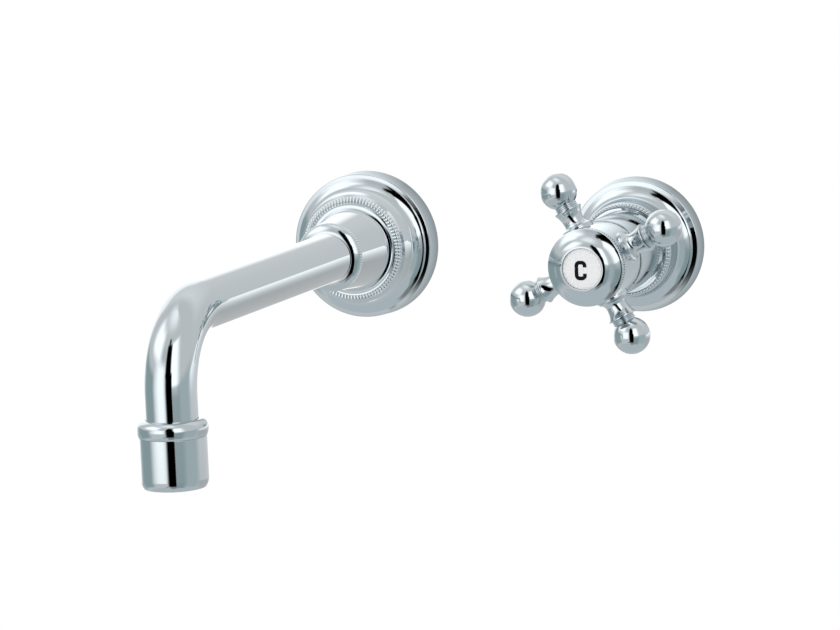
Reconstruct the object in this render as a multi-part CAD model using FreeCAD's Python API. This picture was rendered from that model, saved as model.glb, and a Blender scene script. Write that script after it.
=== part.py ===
import FreeCAD, Part
import math
import os

# A wall-mounted basin tap, in millimetres: a bent tube spout and a cross-head valve, each on a round rose,
# and the brass bodies in the wall that carry them. The wall's face is the plane y = 0 and the tap stands out
# of it towards -Y. Z is up, and the origin is where the spout's axis leaves the wall.

# Layout
centres = 130.0             # spout axis to valve axis, along the wall
reach = 234.0               # wall face to the middle of the outlet
handle_h = 66.0             # wall face to the middle of the handle's arms
seat_depth = 42.0           # wall face to the valve's seat, inside the wall

# Clearances
braze_gap = 0.05            # around a brazed or pressed joint
thread_gap = 0.05           # between a thread's two halves, which are drawn as plain cylinders
slide_gap = 0.05            # around a sliding spigot
run_gap = 0.05              # around the turning spindle
disc_film = 0.05            # between the two ceramic discs
handle_gap = 1.2            # between the shroud and the turning hub
seal_gap = 0.05             # around a seal in its groove
drill_overrun = 1.0         # a waterway's drill past the one that it meets

# Spout tube and its bend
tube_d = 22.0
tube_wall = 1.5
bend_r = 32.0               # at the tube's centre line
outlet_leg = 10.0           # straight tube between the bend and the bead

# Outlet: bead ring on the tube, nozzle and aerator
bead_top_rim = 0.4          # flat at the top of the bead, around the tube
bead_proud = 3.95           # bead stands out of the tube
bead_upper_h = 3.7          # top of the bead down to its widest line
bead_lower_h = 3.5          # widest line down to the nozzle
bead_upper_crown = 1.03     # rise of the bead's upper arc over its chord
bead_lower_crown = 0.21
socket_depth = 5.5          # tube in the bead
nozzle_d = 28.2
nozzle_h = 21.2
nozzle_foot_h = 7.4         # curved lower part of the nozzle
nozzle_foot_in = 1.3        # how far that part draws in
nozzle_foot_crown = 0.3
nozzle_thread_d = 24.0
nozzle_thread_l = 8.0
nozzle_lip = 1.2            # lip that carries the aerator
nozzle_lip_h = 1.6
washer_t = 1.5
screen_t = 0.8
screen_holes = 6            # holes around the screen's middle one
screen_hole_d = 3.2
cartridge_wall = 1.2

# Spout collar and nipple
collar_base_wall = 9.5      # thin flange at the collar's foot, outside the tube
collar_base_h = 0.4
collar_foot_wall = 6.5      # just in front of the flange
collar_front_wall = 4.4     # at the milled edge
collar_l = 31.2
collar_edge_h = 2.0         # milled edge at the collar's front
collar_edge_proud = 0.2
collar_nose_h = 2.4         # rounded front face
collar_nose_crown = 0.5
tube_setback = 0.8          # tube's end behind the collar's back face
grub_h = 8.0                # grub screw in front of the collar's back face
grub_d = 4.0
grub_depth = 1.0            # groove in the nipple for its point
grub_recess = 0.4           # screw's end below the collar's surface
grub_socket_af = 2.0
grub_socket_depth = 2.0
nipple_thread_l = 13.0
nipple_hex_af = 22.0
nipple_hex_h = 4.0          # wall face to the hexagon
nipple_hex_l = 7.0
nipple_l = 47.0             # wall face to the spigot's end
nipple_bore_d = 13.0
nipple_ring_h = 38.0        # wall face to the first seal
nipple_ring_pitch = 5.0
nipple_rings = 2
o_ring_d = 2.0              # section of the nipple's seals

# Roses: stepped covers with a band, a cavetto, a drum and a bead
spout_rose_d = 67.4
spout_rose_h = 23.4
spout_band_h = 9.8
spout_band_taper = 0.5
spout_ledge = 2.1
spout_bead_in = 0.6         # collar's flange to the bead
spout_bead_w = 3.0
spout_drum_edge = 1.1       # chamfer between the drum and the bead
valve_rose_d = 61.5
valve_rose_h = 22.8
valve_band_h = 6.8
valve_band_taper = 1.0
valve_ledge = 2.55
valve_bead_in = 0.4         # shroud's flange to the bead
valve_bead_w = 1.4
valve_drum_edge = 0.3
rose_band_edge = 0.4
rose_ledge_rise = 0.4       # ledge's fall towards the band
rose_quirk_h = 0.4          # step from the ledge to the cavetto
rose_cavetto_h = 6.9
rose_cavetto_hollow = 1.45
rose_drum_taper = 0.25
rose_drum_drop = 2.1        # front face down to the drum's upper edge
rose_bead_drop = 1.1        # front face down to the bead's outer foot
rose_bead_rise = 0.4        # bead's crown as a share of its width
rose_wall = 2.2
rose_rim_w = 4.2            # flat that bears on the wall
rose_hole_d = 26.4          # clears the hexagons behind it
gasket_w = 1.8
gasket_t = 1.5

# Valve shroud and headwork
shroud_d = 36.0
shroud_front_d = 34.8
shroud_wall = 2.4
shroud_foot = 1.2           # thin flange at the sleeve's foot
shroud_foot_h = 0.3
shroud_edge = 0.4
shroud_mouth = 6.0          # front edge to the threaded web inside
shroud_web_l = 10.0
barrel_d = 18.0
barrel_setback = 3.5        # headwork's end behind the shroud's front edge
pipe_thread_d = 20.96       # half-inch pipe thread
headwork_thread_l = 10.0
headwork_hex_af = 22.0
headwork_hex_l = 6.0
headwork_seal_t = 1.2
nose_d = 18.4
disc_d = 15.8
disc_t = 3.0
disc_side_gap = 0.3         # moving disc to the headwork's bore
disc_port_in = 2.6          # ports in the discs: inner radius and rim
disc_port_rim = 1.6
disc_port_half_angle = 38.0
seat_seal_t = 2.0
drive_slot_w = 3.0
drive_slot_l = 9.6
drive_slot_depth = 1.2
drive_gap = 0.05
spindle_d = 9.0
spindle_flange_d = 14.8
spindle_flange_t = 2.6
shoulder_gap = 0.3
spindle_ring_d = 1.6        # section of the spindle's seals
spindle_ring_pitch = 5.0
spindle_rings = 2
circlip_t = 1.0
circlip_w = 1.6
circlip_depth = 0.6
circlip_gap = 0.3           # circlip to the headwork's end
spline_d = 8.0
spline_gap = 0.03
spindle_short = 0.8         # spindle's end below the face that the screw bears on

# Cross handle
hub_d = 34.0
hub_back = 12.1             # arms' middle back to the hub's rear edge
hub_front = 12.2            # arms' middle forward to the cap
hub_edge = 0.7
hub_shoulder = 0.9          # front edge drawn in behind the cap
hub_shoulder_h = 1.6
hub_rear_recess = 4.0
hub_rear_recess_d = 25.0
hub_front_recess = 8.0
arm_count = 4
arm_angle = 26.3            # first arm above the horizontal, at rest
boss_d = 14.4
boss_proud = 0.2
arm_flange_d = 13.6
arm_flange_t = 0.6
arm_l = 9.7                 # hub to the arm's rim
arm_waist_at = 3.2
arm_waist_d = 9.2
arm_foot_hollow = 0.6
arm_flare_hollow = 0.4
arm_rim_d = 12.5
arm_rim_t = 0.5
arm_tail_d = 5.0
arm_tail_l = 7.2
ball_d = 16.4
ball_neck_d = 9.6
neck_rings = 3
neck_ring_w = 0.55
neck_ring_crown = 0.2
ball_tail_d = 4.0
ball_tail_l = 4.5
tail_end_gap = 0.5          # below a screwed tail in its hole

# Cap, index disc and handle screw
cap_d = 34.0
cap_edge_h = 1.6            # milled edge
cap_edge_in = 0.3
cap_lip_h = 0.6
cap_flare_w = 4.0           # hollow flare inside the lip
cap_flare_h = 2.2
cap_flare_hollow = 0.3
cap_roll_h = 2.4            # inner roll up to the bezel
cap_roll_crown = 0.18
cap_spigot_d = 22.0
cap_spigot_l = 4.0
cap_spigot_wall = 2.3
cap_bezel = 0.5
index_d = 18.1
index_t = 1.4
index_gap = 0.05
index_recess = 2.2
index_dome = 0.25
cap_floor = 2.2
screw_head_d = 10.0
screw_head_t = 3.2
screw_d = 4.0
screw_l = 11.0
screw_socket_af = 3.0
screw_socket_depth = 1.8

# In the wall
body_d = 30.0
body_front = 12.0           # wall face to the valve body's mouth
elbow_d = 27.0
elbow_front = 8.0
elbow_thread_l = 14.0
inlet_boss_d = 26.0
inlet_drop = 36.0           # valve axis down to the inlet's mouth
inlet_thread_l = 14.0
passage_d = 12.0
passage_land = 1.5          # inlet passage to the seat
bridge_boss_l = 30.0        # axis to the boss's end
bridge_bore_d = 11.0
bridge_d = 15.0
bridge_wall = 1.0
bridge_in = 9.0             # pipe in each boss
olive_cone = 1.5
olive_w = 3.0
olive_back_cone = 1.6
olive_seat_gap = 0.1
nut_af = 24.0
nut_on_boss = 9.0
nut_cap_l = 3.2
lug_t = 4.0
lug_out = 24.0              # axis to the lug's holes
lug_hole_pitch = 32.0
lug_hole_d = 5.5
lug_edge = 9.0              # around each hole

# Sizes that follow from those above
V = FreeCAD.Vector
tube_r = tube_d / 2
tube_bore_r = tube_r - tube_wall
collar_bore_r = tube_r + braze_gap
collar_base_r = tube_r + collar_base_wall
collar_back = spout_rose_h
collar_front = collar_back + collar_l
bead_top = -(bend_r + outlet_leg)
nozzle_top = bead_top - bead_upper_h - bead_lower_h
nozzle_bottom = nozzle_top - nozzle_h
nozzle_thread_r = nozzle_thread_d / 2
socket_bottom = nozzle_top - nozzle_thread_l
washer_bottom = socket_bottom - washer_t
screen_bottom = nozzle_bottom + nozzle_lip_h
screen_top = screen_bottom + screen_t
shroud_r = shroud_d / 2
shroud_foot_r = shroud_r + shroud_foot
hub_rear = handle_h - hub_back
hub_face = handle_h + hub_front
hub_web_rear = hub_rear + hub_rear_recess
hub_web_front = hub_face - hub_front_recess
shroud_front = hub_rear - handle_gap
barrel_end = shroud_front - barrel_setback
barrel_r = barrel_d / 2
spindle_r = spindle_d / 2
headwork_bore_r = spindle_r + run_gap
pipe_thread_r = pipe_thread_d / 2
disc_r = disc_d / 2
nose_bore_r = disc_r + disc_side_gap
fixed_disc_bottom = seat_seal_t - seat_depth
moving_disc_bottom = fixed_disc_bottom + disc_t + disc_film
moving_disc_top = moving_disc_bottom + disc_t
shoulder = moving_disc_top + spindle_flange_t + shoulder_gap
port_depth = -(moving_disc_bottom + moving_disc_top) / 2
inlet_depth = seat_depth + passage_d / 2 + passage_land
back_depth = inlet_depth + inlet_boss_d / 2
arm_root = hub_d / 2 + boss_proud
arm_rim = arm_root + arm_l
ball_r = ball_d / 2
ball_joint = arm_rim + neck_rings * neck_ring_w
ball_centre = ball_joint + math.sqrt(ball_r ** 2 - (ball_neck_d / 2) ** 2)
bridge_r = bridge_d / 2
boss_mouth_r = bridge_r + braze_gap + olive_cone + olive_seat_gap
boss_thread_r = pipe_thread_r - thread_gap


def turned(points):
    """A solid turned about Z. Its half outline runs anticlockwise through (radius, height) points, and a
    third value makes the stretch that leads to a point an arc that stands so far out of its chord."""
    edges = []
    start = V(points[-1][0], 0, points[-1][1])
    for point in points:
        end = V(point[0], 0, point[1])
        run = end - start
        if len(point) == 3:
            out = V(run.z, 0, -run.x).normalize()
            edges.append(Part.Arc(start, (start + end) * 0.5 + out * point[2], end).toShape())
        else:
            edges.append(Part.makeLine(start, end))
        start = end
    face = Part.Face(Part.Wire(edges))
    return face.revolve(V(0, 0, 0), V(0, 0, 1), 360)


def rod(radius, low, high):
    """A round bar on Z between two heights."""
    return Part.makeCylinder(radius, high - low, V(0, 0, low))


def hexagon(across_flats, low, high):
    """A hexagonal bar on Z between two heights."""
    corner_r = across_flats / math.sqrt(3)
    corners = [V(corner_r * math.cos(math.pi * i / 3), corner_r * math.sin(math.pi * i / 3), low)
               for i in range(7)]
    return Part.Face(Part.makePolygon(corners)).extrude(V(0, 0, high - low))


def ring(middle_r, height, section_d):
    """A round-section seal about Z."""
    return Part.makeTorus(middle_r, section_d / 2, V(0, 0, height))


def sector(inner_r, outer_r, half_angle, middle, low, high):
    """A ring sector about Z, half_angle to each side of the direction middle, in degrees."""
    def spot(radius, angle):
        turn = math.radians(middle + angle)
        return V(radius * math.cos(turn), radius * math.sin(turn), low)
    outer = Part.Arc(spot(outer_r, -half_angle), spot(outer_r, 0), spot(outer_r, half_angle))
    inner = Part.Arc(spot(inner_r, half_angle), spot(inner_r, 0), spot(inner_r, -half_angle))
    edges = [outer.toShape(), Part.makeLine(spot(outer_r, half_angle), spot(inner_r, half_angle)),
             inner.toShape(), Part.makeLine(spot(inner_r, -half_angle), spot(outer_r, -half_angle))]
    return Part.Face(Part.Wire(edges)).extrude(V(0, 0, high - low))


def on_wall(shape, x):
    """Lays a shape's Z axis along the way out of the wall, at x."""
    placed = shape.copy()
    placed.rotate(V(0, 0, 0), V(1, 0, 0), 90)
    placed.translate(V(x, 0, 0))
    return placed


def on_outlet(shape):
    """Moves a shape made on Z to the outlet's axis."""
    placed = shape.copy()
    placed.translate(V(0, -reach, 0))
    return placed


def on_arm(shape, number):
    """Lays a shape's Z axis along one of the handle's arms."""
    placed = shape.copy()
    placed.rotate(V(0, 0, 0), V(0, 1, 0), 90 - arm_angle - number * 360 / arm_count)
    placed.translate(V(centres, -handle_h, 0))
    return placed


# Spout

def spout_line(radius):
    """A round bar along the spout's centre line."""
    bend = reach - bend_r
    slant = bend_r * math.sin(math.pi / 4)
    start = V(0, -(collar_back + tube_setback), 0)
    bend_in = V(0, -bend, 0)
    bend_mid = V(0, -(bend + slant), slant - bend_r)
    bend_out = V(0, -reach, -bend_r)
    end = V(0, -reach, bead_top - socket_depth)
    line = Part.Wire([Part.makeLine(start, bend_in), Part.Arc(bend_in, bend_mid, bend_out).toShape(),
                      Part.makeLine(bend_out, end)])
    mouth = Part.Wire(Part.makeCircle(radius, start, V(0, -1, 0)))
    return line.makePipeShell([mouth], True, False)


def grub_hole(radius):
    """Where the grub screw goes, from under the collar up to the nipple's groove."""
    hole = Part.makeCylinder(radius, collar_base_r, V(0, 0, 0), V(0, 0, -1))
    hole.translate(V(0, -(collar_back + grub_h), 0))
    return hole


def spout_tube():
    tube = spout_line(tube_r).cut(spout_line(tube_bore_r))
    return tube.cut(grub_hole(grub_d / 2 + thread_gap))


def collar_radius(height):
    """The collar's tapered side between its flange and its milled edge."""
    high = collar_l - collar_nose_h - collar_edge_h
    share = (height - collar_base_h) / (high - collar_base_h)
    return tube_r + collar_foot_wall + share * (collar_front_wall - collar_foot_wall)


def spout_collar():
    edge_top = collar_front - collar_nose_h
    edge_low = edge_top - collar_edge_h
    front_r = tube_r + collar_front_wall
    edge_r = front_r + collar_edge_proud
    body = turned([
        (collar_bore_r, collar_back),
        (collar_base_r, collar_back),
        (collar_base_r, collar_back + collar_base_h),
        (tube_r + collar_foot_wall, collar_back + collar_base_h),
        (front_r, edge_low),
        (edge_r, edge_low + collar_edge_proud),
        (edge_r, edge_top - collar_edge_proud),
        (front_r, edge_top),
        (collar_bore_r, collar_front, collar_nose_crown),
    ])
    return on_wall(body, 0).cut(grub_hole(grub_d / 2 + thread_gap))


def spout_grub_screw():
    point = tube_bore_r - slide_gap - grub_depth + thread_gap
    end = collar_radius(grub_h) - grub_recess
    screw = rod(grub_d / 2, point, end).cut(hexagon(grub_socket_af, end - grub_socket_depth, end))
    screw.rotate(V(0, 0, 0), V(1, 0, 0), 180)
    screw.translate(V(0, -(collar_back + grub_h), 0))
    return screw


def spout_nipple():
    spigot_r = tube_bore_r - slide_gap
    body = turned([
        (nipple_bore_d / 2, -(elbow_front + nipple_thread_l)),
        (pipe_thread_r - thread_gap, -(elbow_front + nipple_thread_l)),
        (pipe_thread_r - thread_gap, -elbow_front),
        (spigot_r, -elbow_front),
        (spigot_r, nipple_l),
        (nipple_bore_d / 2, nipple_l),
    ])
    flats = hexagon(nipple_hex_af, nipple_hex_h, nipple_hex_h + nipple_hex_l)
    body = body.fuse(flats.cut(rod(spigot_r - grub_depth, nipple_hex_h, nipple_hex_h + nipple_hex_l)))
    groove_r = tube_bore_r - 2 * seal_gap - o_ring_d - seal_gap
    half = o_ring_d / 2 + seal_gap
    for i in range(nipple_rings):
        middle = nipple_ring_h + i * nipple_ring_pitch
        body = body.cut(rod(tube_r, middle - half, middle + half).cut(
            rod(groove_r, middle - half, middle + half)))
    grub_low = collar_back + grub_h - grub_d / 2 - thread_gap
    grub_high = collar_back + grub_h + grub_d / 2 + thread_gap
    body = body.cut(rod(tube_r, grub_low, grub_high).cut(rod(spigot_r - grub_depth, grub_low, grub_high)))
    return on_wall(body.removeSplitter(), 0)


def spout_o_rings():
    middle_r = tube_bore_r - 2 * seal_gap - o_ring_d / 2
    rings = [ring(middle_r, nipple_ring_h + i * nipple_ring_pitch, o_ring_d) for i in range(nipple_rings)]
    return on_wall(Part.makeCompound(rings), 0)


# Outlet

def outlet_socket():
    inner_r = tube_r + braze_gap
    body = turned([
        (tube_bore_r, socket_bottom),
        (nozzle_thread_r - thread_gap, socket_bottom),
        (nozzle_thread_r - thread_gap, nozzle_top),
        (nozzle_d / 2, nozzle_top),
        (tube_r + bead_proud, nozzle_top + bead_lower_h, bead_lower_crown),
        (tube_r + bead_top_rim, bead_top, bead_upper_crown),
        (inner_r, bead_top),
        (inner_r, bead_top - socket_depth),
        (tube_bore_r, bead_top - socket_depth),
    ])
    return on_outlet(body)


def nozzle_shell():
    foot_r = nozzle_d / 2 - nozzle_foot_in
    lip_r = nozzle_thread_r - nozzle_lip
    body = turned([
        (lip_r, nozzle_bottom),
        (foot_r, nozzle_bottom),
        (nozzle_d / 2, nozzle_bottom + nozzle_foot_h, nozzle_foot_crown),
        (nozzle_d / 2, nozzle_top),
        (nozzle_thread_r, nozzle_top),
        (nozzle_thread_r, screen_bottom),
        (lip_r, screen_bottom),
    ])
    return on_outlet(body)


def aerator_washer():
    body = rod(nozzle_thread_r - seal_gap, washer_bottom, socket_bottom)
    return on_outlet(body.cut(rod(tube_bore_r, washer_bottom, socket_bottom)))


def aerator_cartridge():
    outer_r = nozzle_thread_r - slide_gap
    body = turned([
        (outer_r - cartridge_wall, screen_top),
        (outer_r, screen_top),
        (outer_r, washer_bottom),
        (0, washer_bottom),
        (0, washer_bottom - cartridge_wall),
        (outer_r - cartridge_wall, washer_bottom - cartridge_wall),
    ])
    for i in range(screen_holes):
        hole = rod(screen_hole_d / 2, washer_bottom - cartridge_wall, washer_bottom)
        hole.translate(V(outer_r / 2, 0, 0))
        hole.rotate(V(0, 0, 0), V(0, 0, 1), i * 360 / screen_holes)
        body = body.cut(hole)
    return on_outlet(body)


def aerator_screen():
    body = rod(nozzle_thread_r - slide_gap, screen_bottom, screen_top)
    spots = [V(0, 0, 0)]
    for i in range(screen_holes):
        turn = 2 * math.pi * i / screen_holes
        spots.append(V(math.cos(turn), math.sin(turn), 0) * (nozzle_thread_r / 2))
    for spot in spots:
        hole = rod(screen_hole_d / 2, screen_bottom, screen_top)
        hole.translate(spot)
        body = body.cut(hole)
    return on_outlet(body)


# Roses

def rose(base_d, front, band_h, band_taper, ledge_w, foot_r, bead_in, bead_w, drum_edge):
    """A stepped cover on the wall, under a foot of radius foot_r at the height front."""
    base_r = base_d / 2
    band_r = base_r - band_taper
    ledge_r = band_r - ledge_w
    ledge_h = band_h + rose_ledge_rise
    cavetto_low = ledge_h + rose_quirk_h
    cavetto_top = cavetto_low + rose_cavetto_h
    bead_in_r = foot_r + bead_in
    bead_out_r = bead_in_r + bead_w
    drum_r = bead_out_r + drum_edge
    drum_top = front - rose_drum_drop
    groove_out_r = base_r - (rose_rim_w - gasket_w) / 2
    groove_in_r = groove_out_r - gasket_w
    hole_r = rose_hole_d / 2
    return turned([
        (hole_r, front - rose_wall),
        (foot_r, front - rose_wall),
        (drum_r - rose_wall, drum_top - rose_wall),
        (drum_r - rose_wall, cavetto_top),
        (ledge_r - rose_wall, cavetto_low - rose_wall, rose_cavetto_hollow),
        (base_r - rose_rim_w, 0),
        (groove_in_r, 0),
        (groove_in_r, gasket_t),
        (groove_out_r, gasket_t),
        (groove_out_r, 0),
        (base_r, 0),
        (band_r, band_h - rose_band_edge),
        (band_r - rose_band_edge, band_h),
        (ledge_r, ledge_h),
        (ledge_r, cavetto_low),
        (drum_r + rose_drum_taper, cavetto_top, -rose_cavetto_hollow),
        (drum_r, drum_top),
        (bead_out_r, front - rose_bead_drop),
        (bead_in_r, front, rose_bead_rise * bead_w),
        (hole_r, front),
    ])


def rose_gasket(base_d):
    """The sealing ring in the back of a rose."""
    outer_r = base_d / 2 - (rose_rim_w - gasket_w) / 2 - seal_gap
    inner_r = outer_r - gasket_w + 2 * seal_gap
    return rod(outer_r, 0, gasket_t).cut(rod(inner_r, 0, gasket_t))


def spout_rose():
    return on_wall(rose(spout_rose_d, spout_rose_h, spout_band_h, spout_band_taper, spout_ledge, collar_base_r,
                        spout_bead_in, spout_bead_w, spout_drum_edge), 0)


def valve_rose():
    return on_wall(rose(valve_rose_d, valve_rose_h, valve_band_h, valve_band_taper, valve_ledge, shroud_foot_r,
                        valve_bead_in, valve_bead_w, valve_drum_edge), centres)


# Valve

def valve_shroud():
    web_top = shroud_front - shroud_mouth
    web_low = web_top - shroud_web_l
    front_r = shroud_front_d / 2
    inner_r = front_r - shroud_wall
    thread_r = barrel_r + thread_gap
    body = turned([
        (inner_r, valve_rose_h),
        (shroud_foot_r, valve_rose_h),
        (shroud_foot_r, valve_rose_h + shroud_foot_h),
        (shroud_r, valve_rose_h + shroud_foot_h),
        (front_r, shroud_front - shroud_edge),
        (front_r - shroud_edge, shroud_front),
        (inner_r, shroud_front),
        (inner_r, web_top),
        (thread_r, web_top),
        (thread_r, web_low),
        (inner_r, web_low),
    ])
    return on_wall(body, centres)


def headwork_body():
    thread_r = pipe_thread_r - thread_gap
    hex_low = headwork_seal_t - body_front
    hex_top = hex_low + headwork_hex_l
    thread_low = hex_low - headwork_thread_l
    body = turned([
        (nose_bore_r, fixed_disc_bottom),
        (nose_d / 2, fixed_disc_bottom),
        (nose_d / 2, thread_low),
        (thread_r, thread_low),
        (thread_r, hex_low),
        (barrel_r, hex_low),
        (barrel_r, barrel_end),
        (headwork_bore_r, barrel_end),
        (headwork_bore_r, shoulder),
        (nose_bore_r, shoulder),
    ])
    flats = hexagon(headwork_hex_af, hex_low, hex_top).cut(rod(headwork_bore_r, hex_low, hex_top))
    body = body.fuse(flats).removeSplitter()
    window = math.degrees(math.asin((disc_r - disc_port_in) / disc_d))
    for middle in (0, 180):
        body = body.cut(sector(disc_r, nose_d, window, middle, moving_disc_bottom, moving_disc_top))
    return on_wall(body, centres)


def headwork_seal():
    outer_r = headwork_hex_af / 2
    inner_r = pipe_thread_r - thread_gap + seal_gap
    low = -body_front
    return on_wall(rod(outer_r, low, low + headwork_seal_t).cut(
        rod(inner_r, low, low + headwork_seal_t)), centres)


def seat_seal():
    outer_r = nose_d / 2
    return on_wall(rod(outer_r, -seat_depth, fixed_disc_bottom).cut(
        rod(disc_r - disc_port_rim, -seat_depth, fixed_disc_bottom)), centres)


def fixed_disc():
    top = fixed_disc_bottom + disc_t
    body = rod(nose_bore_r - seal_gap, fixed_disc_bottom, top)
    for middle in (0, 180):
        body = body.cut(sector(disc_port_in, disc_r - disc_port_rim, disc_port_half_angle, middle,
                               fixed_disc_bottom, top))
    return on_wall(body, centres)


def moving_disc():
    body = rod(disc_r, moving_disc_bottom, moving_disc_top)
    for middle in (90, 270):
        body = body.cut(sector(disc_port_in, disc_d, disc_port_half_angle, middle,
                               moving_disc_bottom, moving_disc_top))
    slot = Part.makeBox(drive_slot_l, drive_slot_w, drive_slot_depth,
                        V(-drive_slot_l / 2, -drive_slot_w / 2, moving_disc_top - drive_slot_depth))
    return on_wall(body.cut(slot), centres)


def spindle_ring_heights():
    """The spindle's seals sit in the headwork's threaded part."""
    return [-body_front - (i + 0.5) * spindle_ring_pitch for i in range(spindle_rings)]


def spindle_ring_groove_r():
    return headwork_bore_r - run_gap - spindle_ring_d - seal_gap


def spindle():
    end = hub_web_front - spindle_short
    flange_low = moving_disc_top
    clip_low = barrel_end + circlip_gap - seal_gap
    clip_high = clip_low + circlip_t + 2 * seal_gap
    clip_r = spindle_r - circlip_depth
    body = turned([
        (0, flange_low),
        (spindle_flange_d / 2, flange_low),
        (spindle_flange_d / 2, flange_low + spindle_flange_t),
        (spindle_r, flange_low + spindle_flange_t),
        (spindle_r, clip_low),
        (clip_r, clip_low),
        (clip_r, clip_high),
        (spindle_r, clip_high),
        (spindle_r, hub_web_rear),
        (spline_d / 2, hub_web_rear),
        (spline_d / 2, end),
        (screw_d / 2 + thread_gap, end),
        (screw_d / 2 + thread_gap, hub_web_front - screw_l - tail_end_gap),
        (0, hub_web_front - screw_l - tail_end_gap),
    ])
    tongue_l = drive_slot_l - 2 * drive_gap
    tongue_w = drive_slot_w - 2 * drive_gap
    tongue_h = drive_slot_depth - drive_gap
    body = body.fuse(Part.makeBox(tongue_l, tongue_w, tongue_h,
                                  V(-tongue_l / 2, -tongue_w / 2, flange_low - tongue_h)))
    half = spindle_ring_d / 2 + seal_gap
    for height in spindle_ring_heights():
        body = body.cut(rod(spindle_d, height - half, height + half).cut(
            rod(spindle_ring_groove_r(), height - half, height + half)))
    return on_wall(body, centres)


def spindle_o_rings():
    middle_r = spindle_ring_groove_r() + seal_gap + spindle_ring_d / 2
    rings = [ring(middle_r, height, spindle_ring_d) for height in spindle_ring_heights()]
    return on_wall(Part.makeCompound(rings), centres)


def spindle_circlip():
    low = barrel_end + circlip_gap
    high = low + circlip_t
    inner_r = spindle_r - circlip_depth + seal_gap
    outer_r = inner_r + circlip_w
    gap = Part.makeBox(outer_r, inner_r, circlip_t, V(0, -inner_r / 2, low))
    return on_wall(rod(outer_r, low, high).cut(rod(inner_r, low, high)).cut(gap), centres)


# Cross handle

def handle_hub():
    hub_r = hub_d / 2
    bore_r = spline_d / 2 + spline_gap
    front_r = cap_spigot_d / 2 + thread_gap
    body = turned([
        (bore_r, hub_web_rear),
        (hub_rear_recess_d / 2, hub_web_rear),
        (hub_rear_recess_d / 2, hub_rear),
        (hub_r - hub_edge, hub_rear),
        (hub_r, hub_rear + hub_edge, hub_edge / 5),
        (hub_r, hub_face - hub_shoulder_h),
        (hub_r - hub_shoulder, hub_face),
        (front_r, hub_face),
        (front_r, hub_web_front),
        (bore_r, hub_web_front),
    ])
    hub = on_wall(body, centres)
    boss_root = hub_rear_recess_d / 2
    for i in range(arm_count):
        hub = hub.fuse(on_arm(rod(boss_d / 2, boss_root, arm_root), i))
    hub = hub.removeSplitter()
    for i in range(arm_count):
        hole = rod(arm_tail_d / 2 + thread_gap, arm_root - arm_tail_l - tail_end_gap, arm_root)
        hub = hub.cut(on_arm(hole, i))
    return hub


def handle_arm(number):
    waist = arm_root + arm_waist_at
    hole_r = ball_tail_d / 2 + thread_gap
    hole_end = arm_rim - ball_tail_l - tail_end_gap
    body = turned([
        (0, arm_root - arm_tail_l),
        (arm_tail_d / 2, arm_root - arm_tail_l),
        (arm_tail_d / 2, arm_root),
        (arm_flange_d / 2, arm_root),
        (arm_flange_d / 2, arm_root + arm_flange_t),
        (arm_waist_d / 2, waist, -arm_foot_hollow),
        (arm_rim_d / 2, arm_rim - arm_rim_t, -arm_flare_hollow),
        (arm_rim_d / 2, arm_rim),
        (hole_r, arm_rim),
        (hole_r, hole_end),
        (0, hole_end),
    ])
    return on_arm(body, number)


def ball_finial(number):
    neck_r = ball_neck_d / 2
    chord = math.hypot(neck_r, ball_centre + ball_r - ball_joint)
    crown = ball_r - math.sqrt(ball_r ** 2 - (chord / 2) ** 2)
    points = [
        (0, arm_rim - ball_tail_l),
        (ball_tail_d / 2, arm_rim - ball_tail_l),
        (ball_tail_d / 2, arm_rim),
        (neck_r, arm_rim),
    ]
    for i in range(neck_rings):
        points.append((neck_r, arm_rim + (i + 1) * neck_ring_w, neck_ring_crown))
    points.append((0, ball_centre + ball_r, crown))
    return on_arm(turned(points), number)


def cap_levels():
    """Heights of the cap's lip, flare, bezel and index recess."""
    lip = hub_face + cap_edge_h + cap_lip_h
    flare_top = lip + cap_flare_h
    bezel = flare_top + cap_roll_h
    return lip, flare_top, bezel, bezel - index_recess


def handle_cap():
    lip, flare_top, bezel, recess = cap_levels()
    cap_r = cap_d / 2
    edge_r = cap_r - cap_edge_in
    index_r = index_d / 2 + index_gap
    spigot_r = cap_spigot_d / 2
    inner_r = spigot_r - cap_spigot_wall
    body = turned([
        (0, recess - cap_floor),
        (inner_r, recess - cap_floor),
        (inner_r, hub_face - cap_spigot_l),
        (spigot_r, hub_face - cap_spigot_l),
        (spigot_r, hub_face),
        (edge_r, hub_face),
        (edge_r, hub_face + cap_edge_h),
        (cap_r, hub_face + cap_edge_h + cap_edge_in),
        (cap_r, lip),
        (cap_r - cap_flare_w, flare_top, -cap_flare_hollow),
        (index_r + cap_bezel, bezel, cap_roll_crown),
        (index_r, bezel),
        (index_r, recess),
        (0, recess),
    ])
    return on_wall(body, centres)


def index_disc():
    recess = cap_levels()[3]
    rim_r = index_d / 2
    dome_r = (rim_r ** 2 + index_dome ** 2) / (2 * index_dome)
    chord = math.hypot(rim_r, index_dome)
    crown = dome_r - math.sqrt(dome_r ** 2 - (chord / 2) ** 2)
    body = turned([
        (0, recess),
        (rim_r, recess),
        (rim_r, recess + index_t),
        (0, recess + index_t + index_dome, crown),
    ])
    return on_wall(body, centres)


def handle_screw():
    top = hub_web_front + screw_head_t
    body = turned([
        (0, hub_web_front - screw_l),
        (screw_d / 2, hub_web_front - screw_l),
        (screw_d / 2, hub_web_front),
        (screw_head_d / 2, hub_web_front),
        (screw_head_d / 2, top),
        (0, top),
    ])
    return on_wall(body.cut(hexagon(screw_socket_af, top - screw_socket_depth, top)), centres)


# In the wall

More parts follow.
